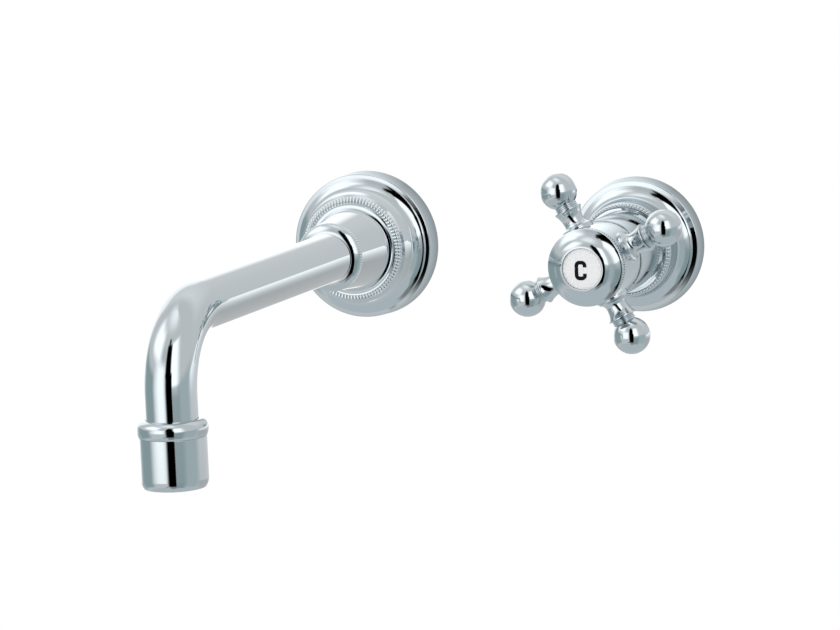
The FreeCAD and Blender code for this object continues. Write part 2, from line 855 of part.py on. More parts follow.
def lug(side):
    """The fixing plate behind a body, out to one side, with its two screw holes."""
    out = lug_out + lug_edge
    half = lug_hole_pitch / 2 + lug_edge
    plate = Part.makeBox(out, 2 * half, lug_t, V(0, -half, -back_depth))
    corners = [edge for edge in plate.Edges
               if edge.BoundBox.XMin > lug_out and edge.BoundBox.ZLength > lug_t / 2]
    plate = plate.makeFillet(lug_edge, corners)
    for way in (-1, 1):
        hole = rod(lug_hole_d / 2, -back_depth, lug_t - back_depth)
        hole.translate(V(lug_out, way * lug_hole_pitch / 2, 0))
        plate = plate.cut(hole)
    if side < 0:
        plate = plate.mirror(V(0, 0, 0), V(1, 0, 0))
    return plate


def along_bridge(shape):
    """Lays a shape's Z axis along the bridge pipe, from the spout's axis towards the valve's."""
    placed = shape.copy()
    placed.rotate(V(0, 0, 0), V(0, 1, 0), 90)
    placed.translate(V(0, port_depth, 0))
    return placed


def both_ends(shape):
    """A joint at the spout's end of the bridge pipe and its mirror image at the valve's end."""
    near = along_bridge(shape)
    far = near.mirror(V(centres / 2, 0, 0), V(1, 0, 0))
    return near, far


def bridge_boss():
    return rod(boss_thread_r, 0, bridge_boss_l)


def bridge_socket():
    """What the bridge pipe's joint cuts out of a body: waterway, pipe socket and the olive's seat."""
    socket_r = bridge_r + braze_gap
    socket_end = bridge_boss_l - bridge_in
    cone = boss_mouth_r - socket_r
    return turned([
        (0, 0),
        (bridge_bore_d / 2, 0),
        (bridge_bore_d / 2, socket_end),
        (socket_r, socket_end),
        (socket_r, bridge_boss_l - cone),
        (boss_mouth_r, bridge_boss_l),
        (0, bridge_boss_l),
    ])


def spout_elbow():
    barrel = on_wall(rod(elbow_d / 2, -back_depth, -elbow_front).fuse(lug(-1)), 0)
    body = barrel.fuse(both_ends(bridge_boss())[0]).removeSplitter()
    body = body.cut(on_wall(rod(pipe_thread_r, -(elbow_front + elbow_thread_l), -elbow_front), 0))
    passage_end = -(port_depth + bridge_bore_d / 2 + drill_overrun)
    body = body.cut(on_wall(rod(passage_d / 2, passage_end, -elbow_front), 0))
    return body.cut(both_ends(bridge_socket())[0])


def valve_body():
    barrel = on_wall(rod(body_d / 2, -back_depth, -body_front).fuse(lug(1)), centres)
    inlet = Part.makeCylinder(inlet_boss_d / 2, inlet_drop, V(centres, inlet_depth, 0), V(0, 0, -1))
    body = barrel.fuse([inlet, both_ends(bridge_boss())[1]]).removeSplitter()
    body = body.cut(on_wall(rod(pipe_thread_r, -seat_depth, -body_front), centres))
    chamber_end = -(inlet_depth + passage_d / 2 + drill_overrun)
    body = body.cut(on_wall(rod(disc_r - disc_port_rim, chamber_end, -seat_depth), centres))
    body = body.cut(Part.makeCylinder(passage_d / 2, inlet_drop, V(centres, inlet_depth, 0), V(0, 0, -1)))
    body = body.cut(Part.makeCylinder(pipe_thread_r, inlet_thread_l, V(centres, inlet_depth, -inlet_drop)))
    return body.cut(both_ends(bridge_socket())[1])


def bridge_tube():
    start = bridge_boss_l - bridge_in
    pipe = rod(bridge_r, start, centres - start).cut(rod(bridge_r - bridge_wall, start, centres - start))
    return along_bridge(pipe)


def bridge_olives():
    inner_r = bridge_r + braze_gap
    top_r = inner_r + olive_cone
    face = bridge_boss_l
    olive = turned([
        (inner_r, face - olive_cone),
        (top_r, face),
        (top_r, face + olive_w),
        (inner_r, face + olive_w + olive_back_cone),
    ])
    return Part.makeCompound(both_ends(olive))


def bridge_nuts():
    olive_r = boss_mouth_r
    pipe_r = bridge_r + braze_gap
    low = bridge_boss_l - nut_on_boss
    olive_top = bridge_boss_l + olive_w + olive_seat_gap
    cone_top = olive_top + olive_back_cone
    top = cone_top + nut_cap_l
    inside = turned([
        (0, low),
        (pipe_thread_r, low),
        (pipe_thread_r, bridge_boss_l + thread_gap),
        (olive_r, bridge_boss_l + thread_gap),
        (olive_r, olive_top),
        (pipe_r, cone_top),
        (pipe_r, top),
        (0, top),
    ])
    return Part.makeCompound(both_ends(hexagon(nut_af, low, top).cut(inside)))


parts = {
    "spout_tube": spout_tube(),
    "spout_collar": spout_collar(),
    "spout_grub_screw": spout_grub_screw(),
    "spout_nipple": spout_nipple(),
    "spout_o_rings": spout_o_rings(),
    "spout_rose": spout_rose(),
    "spout_rose_gasket": on_wall(rose_gasket(spout_rose_d), 0),
    "outlet_socket": outlet_socket(),
    "nozzle_shell": nozzle_shell(),
    "aerator_washer": aerator_washer(),
    "aerator_cartridge": aerator_cartridge(),
    "aerator_screen": aerator_screen(),
    "valve_rose": valve_rose(),
    "valve_rose_gasket": on_wall(rose_gasket(valve_rose_d), centres),
    "valve_shroud": valve_shroud(),
    "headwork_body": headwork_body(),
    "headwork_seal": headwork_seal(),
    "seat_seal": seat_seal(),
    "fixed_disc": fixed_disc(),
    "moving_disc": moving_disc(),
    "spindle": spindle(),
    "spindle_o_rings": spindle_o_rings(),
    "spindle_circlip": spindle_circlip(),
    "handle_hub": handle_hub(),
    "handle_cap": handle_cap(),
    "index_disc": index_disc(),
    "handle_screw": handle_screw(),
    "spout_elbow": spout_elbow(),
    "valve_body": valve_body(),
    "bridge_tube": bridge_tube(),
    "bridge_olives": bridge_olives(),
    "bridge_nuts": bridge_nuts(),
}
for i in range(arm_count):
    parts["handle_arm_%d" % (i + 1)] = handle_arm(i)
    parts["ball_finial_%d" % (i + 1)] = ball_finial(i)

os.makedirs("parts", exist_ok=True)
for node, shape in parts.items():
    shape.exportStep("parts/%s.step" % node)
    print(node, len(shape.Solids), "valid" if shape.isValid() else "INVALID", round(shape.Volume, 1))
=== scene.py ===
import bmesh
import bpy
import math
from mathutils import Matrix, Vector


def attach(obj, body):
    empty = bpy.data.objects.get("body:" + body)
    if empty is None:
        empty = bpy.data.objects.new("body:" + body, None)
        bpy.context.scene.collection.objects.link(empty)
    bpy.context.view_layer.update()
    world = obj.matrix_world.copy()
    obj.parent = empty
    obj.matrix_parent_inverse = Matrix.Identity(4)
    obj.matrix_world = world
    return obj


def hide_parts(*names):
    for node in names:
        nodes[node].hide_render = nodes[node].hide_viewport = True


# A wall-mounted basin tap: a bent tube spout and a cross-head valve on round roses, and the brass bodies in the
# wall behind them. The wall's face is y = 0, the tap stands out of it towards -Y, and Z is up.
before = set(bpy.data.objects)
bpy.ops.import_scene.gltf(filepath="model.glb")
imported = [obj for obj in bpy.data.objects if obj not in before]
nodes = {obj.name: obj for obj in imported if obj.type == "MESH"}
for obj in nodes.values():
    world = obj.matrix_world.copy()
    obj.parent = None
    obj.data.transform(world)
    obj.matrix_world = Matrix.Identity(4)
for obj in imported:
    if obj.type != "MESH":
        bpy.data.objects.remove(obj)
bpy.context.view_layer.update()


# Bodies in the wall: the valve body and the spout's elbow are hot-stamped brass with turned faces, screwed to
# the wall's frame by their lugs. The nipple, the nuts and the olives are turned from brass bar.
def linear(code):
    """An sRGB hex colour as the linear RGBA that shaders take."""
    channels = [int(code[i:i + 2], 16) / 255 for i in (0, 2, 4)]
    return tuple(c / 12.92 if c <= 0.04045 else ((c + 0.055) / 1.055) ** 2.4 for c in channels) + (1.0,)


def add(tree, kind, settings=None, **inputs):
    """Adds a shader node with its settings. An input is a value or the socket that it is linked to."""
    made = tree.nodes.new("ShaderNode" + kind)
    for setting, value in (settings or {}).items():
        setattr(made, setting, value)
    for name, value in inputs.items():
        socket = made.inputs[name.replace("_", " ")]
        if isinstance(value, bpy.types.NodeSocket):
            tree.links.new(value, socket)
        else:
            socket.default_value = value
    return made


def dress(material, *names):
    """Gives CAD nodes a material in place of the plain one that they come with."""
    for name in names:
        nodes[name].data.materials.clear()
        nodes[name].data.materials.append(material)


brass_grain_mm = 0.9        # blotches that the pickling bath leaves on stamped brass
brass = bpy.data.materials.new("stamped_brass")     # warm yellow metal, dull where it was pickled
brass.use_nodes = True
tree = brass.node_tree
surface = tree.nodes["Principled BSDF"]
place = add(tree, "TexCoord")
grain = add(tree, "TexNoise", Vector=place.outputs["Object"], Scale=1000 / brass_grain_mm / 4, Detail=4.0)
tone = add(tree, "Mix", {"data_type": "RGBA"}, Factor=grain.outputs[0])
tone.inputs[6].default_value = linear("A8803F")
tone.inputs[7].default_value = linear("C9A561")
dull = add(tree, "MapRange", Value=grain.outputs[0], To_Min=0.26, To_Max=0.46)
skin = add(tree, "Bump", Height=grain.outputs[0], Strength=0.25, Distance=0.0001)
tree.links.new(tone.outputs[2], surface.inputs["Base Color"])
tree.links.new(dull.outputs["Result"], surface.inputs["Roughness"])
tree.links.new(skin.outputs["Normal"], surface.inputs["Normal"])
surface.inputs["Metallic"].default_value = 1.0
dress(brass, "valve_body", "spout_elbow", "spout_nipple", "headwork_body", "spindle", "bridge_nuts",
      "bridge_olives")


# Bridge pipe: half-hard drawn copper between the two bodies, held in each by a nut and an olive. It has the long
# faint streaks of the drawing die.
streak_mm = 0.5
copper = bpy.data.materials.new("drawn_copper")
copper.use_nodes = True
tree = copper.node_tree
surface = tree.nodes["Principled BSDF"]
place = add(tree, "TexCoord")
along = add(tree, "Mapping", Vector=place.outputs["Object"], Scale=(0.02, 1.0, 1.0))
streak = add(tree, "TexNoise", Vector=along.outputs["Vector"], Scale=1000 / streak_mm / 4, Detail=3.0)
tone = add(tree, "Mix", {"data_type": "RGBA"}, Factor=streak.outputs[0])
tone.inputs[6].default_value = linear("9C5B3C")
tone.inputs[7].default_value = linear("C98460")
dull = add(tree, "MapRange", Value=streak.outputs[0], To_Min=0.22, To_Max=0.38)
tree.links.new(tone.outputs[2], surface.inputs["Base Color"])
tree.links.new(dull.outputs["Result"], surface.inputs["Roughness"])
surface.inputs["Metallic"].default_value = 1.0
dress(copper, "bridge_tube")


# Seals: rings, gaskets and washers of moulded EPDM rubber, black and matt with a fine bloom, and one washer of
# pressed red fibre, which the headwork squeezes on the valve body.
bloom_mm = 0.6
for name, dark, pale, seals in (
        ("moulded_epdm", "121213", "232324", ("spout_o_rings", "spindle_o_rings", "spout_rose_gasket",
                                              "valve_rose_gasket", "aerator_washer", "seat_seal")),
        ("pressed_fibre", "6E2018", "8C3325", ("headwork_seal",))):
    rubber = bpy.data.materials.new(name)
    rubber.use_nodes = True
    tree = rubber.node_tree
    surface = tree.nodes["Principled BSDF"]
    place = add(tree, "TexCoord")
    bloom = add(tree, "TexNoise", Vector=place.outputs["Object"], Scale=1000 / bloom_mm / 4, Detail=5.0)
    tone = add(tree, "Mix", {"data_type": "RGBA"}, Factor=bloom.outputs[0])
    tone.inputs[6].default_value = linear(dark)
    tone.inputs[7].default_value = linear(pale)
    tree.links.new(tone.outputs[2], surface.inputs["Base Color"])
    surface.inputs["Roughness"].default_value = 0.62
    dress(rubber, *seals)


# Roses: covers spun from brass sheet and turned on the front, with a band on the wall, a cavetto, a drum and a
# milled bead. Chrome: bright chromium on nickel over the polished brass, which mirrors the room with a cool grey
# cast, and only the last traces of the polishing mop break the mirror.
mop_mm = 6.0
chrome = bpy.data.materials.new("bright_chrome")
chrome.use_nodes = True
tree = chrome.node_tree
surface = tree.nodes["Principled BSDF"]
place = add(tree, "TexCoord")
mop = add(tree, "TexNoise", Vector=place.outputs["Object"], Scale=1000 / mop_mm / 4, Detail=2.0)
dull = add(tree, "MapRange", Value=mop.outputs[0], To_Min=0.03, To_Max=0.06)
tree.links.new(dull.outputs["Result"], surface.inputs["Roughness"])
surface.inputs["Base Color"].default_value = linear("C4CCD0")
surface.inputs["Metallic"].default_value = 1.0

arc_steps = 10
plain_steps = 128           # facets round a large piece without milling
small_steps = 96
corner_r = 0.15             # the polished corners of turned pieces


def turned(points, steps, corner=corner_r):
    """A form turned about Z, in mm. Its half outline runs anticlockwise through (radius, height) points, and a
    third value makes the run up to a point an arc that stands so far out."""
    bm = bmesh.new()
    ends = [bm.verts.new((points[0][0], 0.0, points[0][1]))]
    for radius, height, *crown in points[1:]:
        start = ends[-1].co.copy()
        end = Vector((radius, 0.0, height))
        if crown:
            run = end - start
            out = Vector((run.z, 0.0, -run.x)).normalized()
            arc_r = (run.length_squared / 4 + crown[0] ** 2) / (2 * crown[0])
            made = bmesh.ops.spin(bm, geom=[ends[-1]], cent=(start + end) / 2 + out * (crown[0] - arc_r),
                                  axis=(0, 1, 0), angle=-4 * math.atan2(2 * crown[0], run.length),
                                  steps=arc_steps)["geom_last"]
        else:
            made = bmesh.ops.extrude_vert_indiv(bm, verts=ends[-1:])["verts"]
        made[0].co = end
        ends.append(made[0])
    if points[0][0] or points[-1][0]:
        bm.edges.new((ends[-1], ends[0]))
    bmesh.ops.bevel(bm, geom=[end for end in ends if end.co.x], offset=corner, offset_type="OFFSET", segments=2,
                    profile=0.5, affect="VERTICES", clamp_overlap=True, material=-1)
    # an eighth is spun, and then copied round
    bmesh.ops.spin(bm, geom=bm.verts[:] + bm.edges[:], cent=(0, 0, 0), axis=(0, 0, 1), angle=math.tau / 8,
                   steps=steps // 8)
    bmesh.ops.spin(bm, geom=bm.verts[:] + bm.edges[:] + bm.faces[:], cent=(0, 0, 0), axis=(0, 0, 1),
                   angle=math.tau * 7 / 8, steps=7, use_duplicate=True)
    bmesh.ops.remove_doubles(bm, verts=bm.verts, dist=1e-4)
    bmesh.ops.recalc_face_normals(bm, faces=bm.faces)
    return bm


mill_cut = (1.0, 0.15, 0.0, 0.15)       # depth of a groove at each quarter of its pitch


def mill(bm, teeth, depth, radii, heights):
    """Cuts grooves across a form turned in four steps to a tooth, between two radii and two heights."""
    bm.normal_update()
    for vert in bm.verts:
        radius = math.hypot(vert.co.x, vert.co.y)
        if radii[0] < radius < radii[1] and heights[0] < vert.co.z < heights[1]:
            quarter = round(math.atan2(vert.co.y, vert.co.x) / math.tau * 4 * teeth) % 4
            vert.co -= vert.normal * depth * mill_cut[quarter]


def on_wall(x):
    """Where a form made on Z stands out of the wall at x, in mm."""
    return Matrix.Translation((x, 0, 0)) @ Matrix.Rotation(math.pi / 2, 4, "X")


to_metres = Matrix.Scale(0.001, 4)
sharp_angle = math.radians(40)


def finished(name, bm, spot, material, body, slot, *replaced):
    """Makes a form in mm an object in its place, in metres, which rides on a body and stands for CAD nodes.
    Normals are weighted by area, so that a polished corner doesn't bend the mirror of the faces beside it."""
    bmesh.ops.transform(bm, matrix=to_metres @ spot, verts=bm.verts)
    mesh = bpy.data.meshes.new(name)
    bm.to_mesh(mesh)
    bm.free()
    mesh.shade_smooth()
    mesh.set_sharp_from_angle(angle=sharp_angle)
    mesh.materials.append(material)
    made = bpy.data.objects.new(name, mesh)
    bpy.context.scene.collection.objects.link(made)
    made.modifiers.new("true_faces", "WEIGHTED_NORMAL").keep_sharp = True
    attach(made, body)
    if replaced:
        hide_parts(*replaced)
    return made


centres = 130.0             # spout to valve
spout_rose_r = 33.7
spout_front = 23.4          # the rose's front, where the collar stands on it
collar_foot_r = 20.5
valve_rose_r = 30.75
valve_front = 22.8          # the same for the shroud
shroud_foot_r = 19.2
rose_wall = 2.2
rose_rim = 4.2              # the flat back on the wall
rose_hole_r = 13.2
rose_dish = 1.1             # the front falls in from the bead to the hole
groove_out = 1.2            # the gasket's groove, from the edge inwards
groove_in = 3.0
groove_h = 1.5
band_edge = 0.4
cavetto_h = 6.9
cavetto_crown = 1.45
drum_flare = 0.25           # the drum widens towards the cavetto
drum_inside = 4.3           # from the front to the end of the bore's slope
bead_neck = 1.0             # from the bead down to the drum
bead_h = 1.1
bead_swell = 0.4            # crown to width
mill_in = 0.1               # the milling runs from here inside the bead to there past it
mill_out = 0.3
mill_low = 1.0              # and from under the front to over it
mill_high = 2.0
for name, x, base_r, front, band_r, band_h, ledge_r, drum_r, bead_out_r, bead_in_r, foot_r, teeth, cut in (
        ("spout_rose", 0.0, spout_rose_r, spout_front, 33.2, 9.8, 31.1, 25.2, 24.1, 21.1, collar_foot_r,
         92, 0.8),
        ("valve_rose", centres, valve_rose_r, valve_front, 29.75, 6.8, 27.2, 21.3, 21.0, 19.6, shroud_foot_r,
         80, 0.5)):
    cavetto_low = band_h + 2 * band_edge
    cavetto_top = cavetto_low + cavetto_h
    bead_crown = bead_swell * (bead_out_r - bead_in_r)
    cover = turned([
        (rose_hole_r, front - rose_wall),
        (foot_r, front - rose_wall),
        (drum_r - rose_wall, front - drum_inside),
        (drum_r - rose_wall, cavetto_top),
        (ledge_r - rose_wall, cavetto_low - rose_wall, cavetto_crown),
        (base_r - rose_rim, 0.0),
        (base_r - groove_in, 0.0),
        (base_r - groove_in, groove_h),
        (base_r - groove_out, groove_h),
        (base_r - groove_out, 0.0),
        (base_r, 0.0),
        (band_r, band_h - band_edge),
        (band_r - band_edge, band_h),
        (ledge_r, band_h + band_edge),
        (ledge_r, cavetto_low),
        (drum_r + drum_flare, cavetto_top, -cavetto_crown),
        (drum_r, front - bead_h - bead_neck),
        (bead_out_r, front - bead_h),
        (bead_in_r, front, bead_crown),
        (rose_hole_r, front - rose_dish),
    ], 4 * teeth)
    mill(cover, teeth, cut, (bead_in_r + mill_in, bead_out_r + mill_out), (front - mill_low, front + mill_high))
    cover = finished(name + "_plated", cover, on_wall(x), chrome, "tap_body", "chrome_plate", name)
    cover.visible_glossy = name == "valve_rose"     # the collar and the tube mirror the open room
for node in nodes.values():
    node.visible_glossy = False                     # a mirror shows the plated pieces, not the solids under them


# Collar: turned brass, chromed, that carries the tube in front of the rose. Its foot runs out in a thin flange,
# its front edge is milled, and a grub screw goes in from below.
collar_front = 54.6
collar_bore_r = 11.05
collar_end_crown = 0.5
flange_h = 0.3
flange_slope = 0.4          # rise of the flange to the cove
cove_out_r = 19.4
cove_in_r = 18.2
cone_r = 17.25              # the collar's foot above the cove
cone_low = 27.0
cove_crown = 0.25
edge_r = 15.6               # the milled edge
edge_low = 50.2
edge_high = 52.2
edge_break = 0.2
edge_flank = 0.7
collar_teeth = 80
collar_cut = 0.9
edge_in = 0.3               # the milling takes in the edge and its upper break
edge_out = 0.2
edge_slack = 0.1
grub_at = 31.4              # out of the wall
grub_hole_r = 2.05
grub_hole = 12.0
grub_hole_z = -16.0         # the middle of the hole
grub_hole_steps = 48
collar = turned([
    (collar_bore_r, spout_front),
    (collar_foot_r, spout_front),
    (collar_foot_r, spout_front + flange_h),
    (cove_out_r, spout_front + flange_h),
    (cove_in_r, spout_front + flange_h + flange_slope),
    (cone_r, cone_low, -cove_crown),
    (edge_r - edge_break, edge_low),
    (edge_r, edge_low + edge_break),
    (edge_r, edge_low + edge_flank),
    (edge_r, edge_high - edge_flank),
    (edge_r, edge_high - edge_break),
    (edge_r - edge_break, edge_high),
    (collar_bore_r, collar_front, collar_end_crown),
], 4 * collar_teeth)
mill(collar, collar_teeth, collar_cut, (edge_r - edge_in, edge_r + edge_out),
     (edge_low + edge_slack, edge_high + edge_slack))
collar = finished("spout_collar_plated", collar, on_wall(0), chrome, "tap_body", "chrome_plate", "spout_collar")
collar.visible_glossy = False       # so the tube and the rose mirror the open room

bm = bmesh.new()
bmesh.ops.create_cone(bm, cap_ends=True, segments=grub_hole_steps, radius1=grub_hole_r, radius2=grub_hole_r,
                      depth=grub_hole)
bmesh.ops.transform(bm, matrix=to_metres @ Matrix.Translation((0, -grub_at, grub_hole_z)), verts=bm.verts)
mesh = bpy.data.meshes.new("grub_drill")
bm.to_mesh(mesh)
bm.free()
drill = bpy.data.objects.new("grub_drill", mesh)
bpy.context.scene.collection.objects.link(drill)
drilled = collar.modifiers.new("grub_hole", "BOOLEAN")
drilled.object = drill
drilled.solver = "EXACT"
shape = bpy.data.meshes.new_from_object(collar.evaluated_get(bpy.context.evaluated_depsgraph_get()))
collar.modifiers.clear()
collar.data = shape
shape.set_sharp_from_angle(angle=sharp_angle)
collar.modifiers.new("true_faces", "WEIGHTED_NORMAL").keep_sharp = True
bpy.data.objects.remove(drill)


# Spout: one length of 22 mm brass tube, bent down on a former, polished and chromed. It is brazed into the
# collar and the outlet's socket.
tube_r = 11.0
tube_bore_r = 9.5
bend_r = 32.0
tube_back = 24.2
bend_at = 202.0             # out of the wall, where the bend starts
tube_bottom = -47.5
tube_steps = 144            # facets round the tube
bend_steps = 80
bm = bmesh.new()
walls = []
for radius in (tube_r, tube_bore_r):
    mouth = bmesh.ops.create_circle(bm, cap_ends=False, segments=tube_steps, radius=radius)["verts"]
    bmesh.ops.rotate(bm, verts=mouth, cent=(0, 0, 0), matrix=Matrix.Rotation(math.pi / 2, 3, "X"))
    bmesh.ops.translate(bm, verts=mouth, vec=(0, -tube_back, 0))
    walls += {edge for vert in mouth for edge in vert.link_edges}
back_rim = walls
run = bmesh.ops.extrude_edge_only(bm, edges=walls)["geom"]
bmesh.ops.translate(bm, verts=[part for part in run if isinstance(part, bmesh.types.BMVert)],
                    vec=(0, tube_back - bend_at, 0))
bent = bmesh.ops.spin(bm, geom=[part for part in run if not isinstance(part, bmesh.types.BMFace)],
                      cent=(0, -bend_at, -bend_r), axis=(1, 0, 0), angle=math.pi / 2,
                      steps=bend_steps)["geom_last"]
bend_end = [part for part in bent if isinstance(part, bmesh.types.BMEdge)]
drop = bmesh.ops.extrude_edge_only(bm, edges=bend_end)["geom"]
bmesh.ops.translate(bm, verts=[part for part in drop if isinstance(part, bmesh.types.BMVert)],
                    vec=(0, 0, tube_bottom + bend_r))
bmesh.ops.bridge_loops(bm, edges=back_rim)
bmesh.ops.bridge_loops(bm, edges=[part for part in drop if isinstance(part, bmesh.types.BMEdge)])
bmesh.ops.recalc_face_normals(bm, faces=bm.faces)
tube = finished("spout_tube_plated", bm, Matrix(), chrome, "tap_body", "chrome_plate", "spout_tube")
tube.modifiers.clear()      # its even facets need no weighting


# Outlet: a turned bead brazed on the end of the tube, with the thread for the nozzle, and the nozzle's shell,
# which screws up against the bead and holds the aerator. Both are chromed brass.
reach = 234.0
nozzle_r = 14.1
nozzle_top = -49.2
nozzle_bottom = -70.4
nozzle_bore_r = 12.0
lip_r = 10.8                # the lip that holds the aerator
lip_h = 1.6
foot_in = 1.3               # the rounded foot of the nozzle
foot_h = 3.8
foot_crown = 0.3
thread_r = 11.95            # the socket's thread
thread_end = -57.2
bead_r = 14.95              # at its widest
bead_wide = 3.5             # from the nozzle up to there
bead_low_crown = 0.21
bead_top = -42.0
bead_top_r = 11.4
bead_top_crown = 1.03
socket_r = 11.05            # on the tube
outlet = Matrix.Translation((0, -reach, 0))
socket = turned([
    (tube_bore_r, thread_end),
    (thread_r, thread_end),
    (thread_r, nozzle_top),
    (nozzle_r, nozzle_top),
    (bead_r, nozzle_top + bead_wide, bead_low_crown),
    (bead_top_r, bead_top, bead_top_crown),
    (socket_r, bead_top),
    (socket_r, tube_bottom),
    (tube_bore_r, tube_bottom),
], plain_steps)
finished("outlet_socket_plated", socket, outlet, chrome, "tap_body", "chrome_plate", "outlet_socket")
shell = turned([
    (lip_r, nozzle_bottom),
    (nozzle_r - foot_in, nozzle_bottom),
    (nozzle_r, nozzle_bottom + foot_h, foot_crown),
    (nozzle_r, nozzle_top),
    (nozzle_bore_r, nozzle_top),
    (nozzle_bore_r, nozzle_bottom + lip_h),
    (lip_r, nozzle_bottom + lip_h),
], plain_steps)
finished("nozzle_shell_plated", shell, outlet, chrome, "tap_body", "chrome_plate", "nozzle_shell")


# Aerator cartridge: moulded acetal, a milky white plastic with a dull sheen. It stands on the screen in the
# nozzle's shell, with a washer above it.
cloud_mm = 2.0
acetal = bpy.data.materials.new("moulded_acetal")
acetal.use_nodes = True
tree = acetal.node_tree
surface = tree.nodes["Principled BSDF"]
place = add(tree, "TexCoord")
flow = add(tree, "TexNoise", Vector=place.outputs["Object"], Scale=1000 / cloud_mm / 4)
tone = add(tree, "Mix", {"data_type": "RGBA"}, Factor=flow.outputs[0])
tone.inputs[6].default_value = linear("D6D6D0")
tone.inputs[7].default_value = linear("E4E4DF")
tree.links.new(tone.outputs[2], surface.inputs["Base Color"])
surface.inputs["Roughness"].default_value = 0.42
dress(acetal, "aerator_cartridge")


# Ceramic discs of the headwork: lapped alumina, off-white and smooth, with a faint cloud of pressed powder. One
# is held in the headwork's body, and the other turns on it with the spindle.
alumina = bpy.data.materials.new("lapped_alumina")
alumina.use_nodes = True
tree = alumina.node_tree
surface = tree.nodes["Principled BSDF"]
place = add(tree, "TexCoord")
cloud = add(tree, "TexNoise", Vector=place.outputs["Object"], Scale=1000 / cloud_mm / 4)
tone = add(tree, "Mix", {"data_type": "RGBA"}, Factor=cloud.outputs[0])
tone.inputs[6].default_value = linear("E2E1DA")
tone.inputs[7].default_value = linear("EFEEE8")
tree.links.new(tone.outputs[2], surface.inputs["Base Color"])
surface.inputs["Roughness"].default_value = 0.28
surface.inputs["IOR"].default_value = 1.76
dress(alumina, "fixed_disc", "moving_disc")


# Screws, circlip and aerator screen: stainless steel, turned or pressed, with a fine satin grain. The screws
# hold the spout on its nipple and the handle on its spindle.
satin_mm = 0.25
stainless = bpy.data.materials.new("satin_stainless")
stainless.use_nodes = True
tree = stainless.node_tree
surface = tree.nodes["Principled BSDF"]
place = add(tree, "TexCoord")
satin = add(tree, "TexNoise", Vector=place.outputs["Object"], Scale=1000 / satin_mm / 4, Detail=3.0)
dull = add(tree, "MapRange", Value=satin.outputs[0], To_Min=0.2, To_Max=0.36)
tree.links.new(dull.outputs["Result"], surface.inputs["Roughness"])
surface.inputs["Base Color"].default_value = linear("B9BABA")
surface.inputs["Metallic"].default_value = 1.0
dress(stainless, "spout_grub_screw", "spindle_circlip", "handle_screw", "aerator_screen")


# Shroud: a turned, chromed brass sleeve. It screws on the headwork by the web inside it, and holds the valve's
# rose on the wall.
shroud_front = 52.7
shroud_edge = 0.4
shroud_low_r = 18.0
shroud_r = 17.4             # at the front
shroud_bore_r = 15.0
web_low = 36.7              # the threaded web inside
web_high = 46.7
web_hole_r = 9.05
shroud = turned([
    (shroud_bore_r, valve_front),
    (shroud_foot_r, valve_front),
    (shroud_foot_r, valve_front + flange_h),
    (shroud_low_r, valve_front + flange_h),
    (shroud_r, shroud_front - shroud_edge),
    (shroud_r - shroud_edge, shroud_front),
    (shroud_bore_r, shroud_front),
    (shroud_bore_r, web_high),
    (web_hole_r, web_high),
    (web_hole_r, web_low),
    (shroud_bore_r, web_low),
], plain_steps)
shroud = finished("valve_shroud_plated", shroud, on_wall(centres), chrome, "tap_body", "chrome_plate",
                  "valve_shroud")
shroud.visible_glossy = False       # so the bead behind it mirrors the open room


# Cross handle: a cast and turned brass hub, and four turned arms that screw into it, each with a ball on its
# end. The arms flare to a rim, and three fine rings lead to the ball. All of it is chromed.
handle_at = 66.0            # out of the wall
arm_angle = 26.3
arm_root = 17.2             # from the handle's axis
arm_root_r = 6.8
arm_root_h = 0.6
arm_waist = 3.2             # from the root
arm_waist_r = 4.6
arm_waist_crown = 0.6
arm_rim = 26.4
arm_rim_r = 6.25
arm_rim_h = 0.5
arm_flare_crown = 0.4
stud_r = 2.5                # screwed into the hub
stud = 7.2
ball_r = 8.2
ball_neck_r = 4.8
neck_ring_w = 0.72
neck_ring_crown = 0.3
peg_r = 2.0                 # the ball's peg, and its hole in the arm
peg = 4.5
peg_hole_r = 2.05
peg_hole = 5.0
ball_corner_r = 0.05
dress(chrome, "handle_hub")
for i in range(4):
    on_arm = Matrix.Translation((centres, -handle_at, 0)) @ Matrix.Rotation(
        math.radians(90 - arm_angle - 90 * i), 4, "Y")
    arm = turned([
        (0.0, arm_root - stud),
        (stud_r, arm_root - stud),
        (stud_r, arm_root),
        (arm_root_r, arm_root),
        (arm_root_r, arm_root + arm_root_h),
        (arm_waist_r, arm_root + arm_waist, -arm_waist_crown),
        (arm_rim_r, arm_rim - arm_rim_h, -arm_flare_crown),
        (arm_rim_r, arm_rim),
        (peg_hole_r, arm_rim),
        (peg_hole_r, arm_rim - peg_hole),
        (0.0, arm_rim - peg_hole),
    ], small_steps)
    finished("handle_arm_%d_plated" % (i + 1), arm, on_arm, chrome, "handle", "chrome_plate",
             "handle_arm_%d" % (i + 1))
    joint = arm_rim + 3 * neck_ring_w
    ball_at = joint + math.sqrt(ball_r ** 2 - ball_neck_r ** 2)
    half_chord = math.hypot(ball_neck_r, ball_at + ball_r - joint) / 2
    ball = turned([
        (0.0, arm_rim - peg),
        (peg_r, arm_rim - peg),
        (peg_r, arm_rim),
        (ball_neck_r, arm_rim),
        (ball_neck_r, arm_rim + neck_ring_w, neck_ring_crown),
        (ball_neck_r, arm_rim + 2 * neck_ring_w, neck_ring_crown),
        (ball_neck_r, joint, neck_ring_crown),
        (0.0, ball_at + ball_r, ball_r - math.sqrt(ball_r ** 2 - half_chord ** 2)),
    ], small_steps, ball_corner_r)
    finished("ball_finial_%d_plated" % (i + 1), ball, on_arm, chrome, "handle", "chrome_plate",
             "ball_finial_%d" % (i + 1))


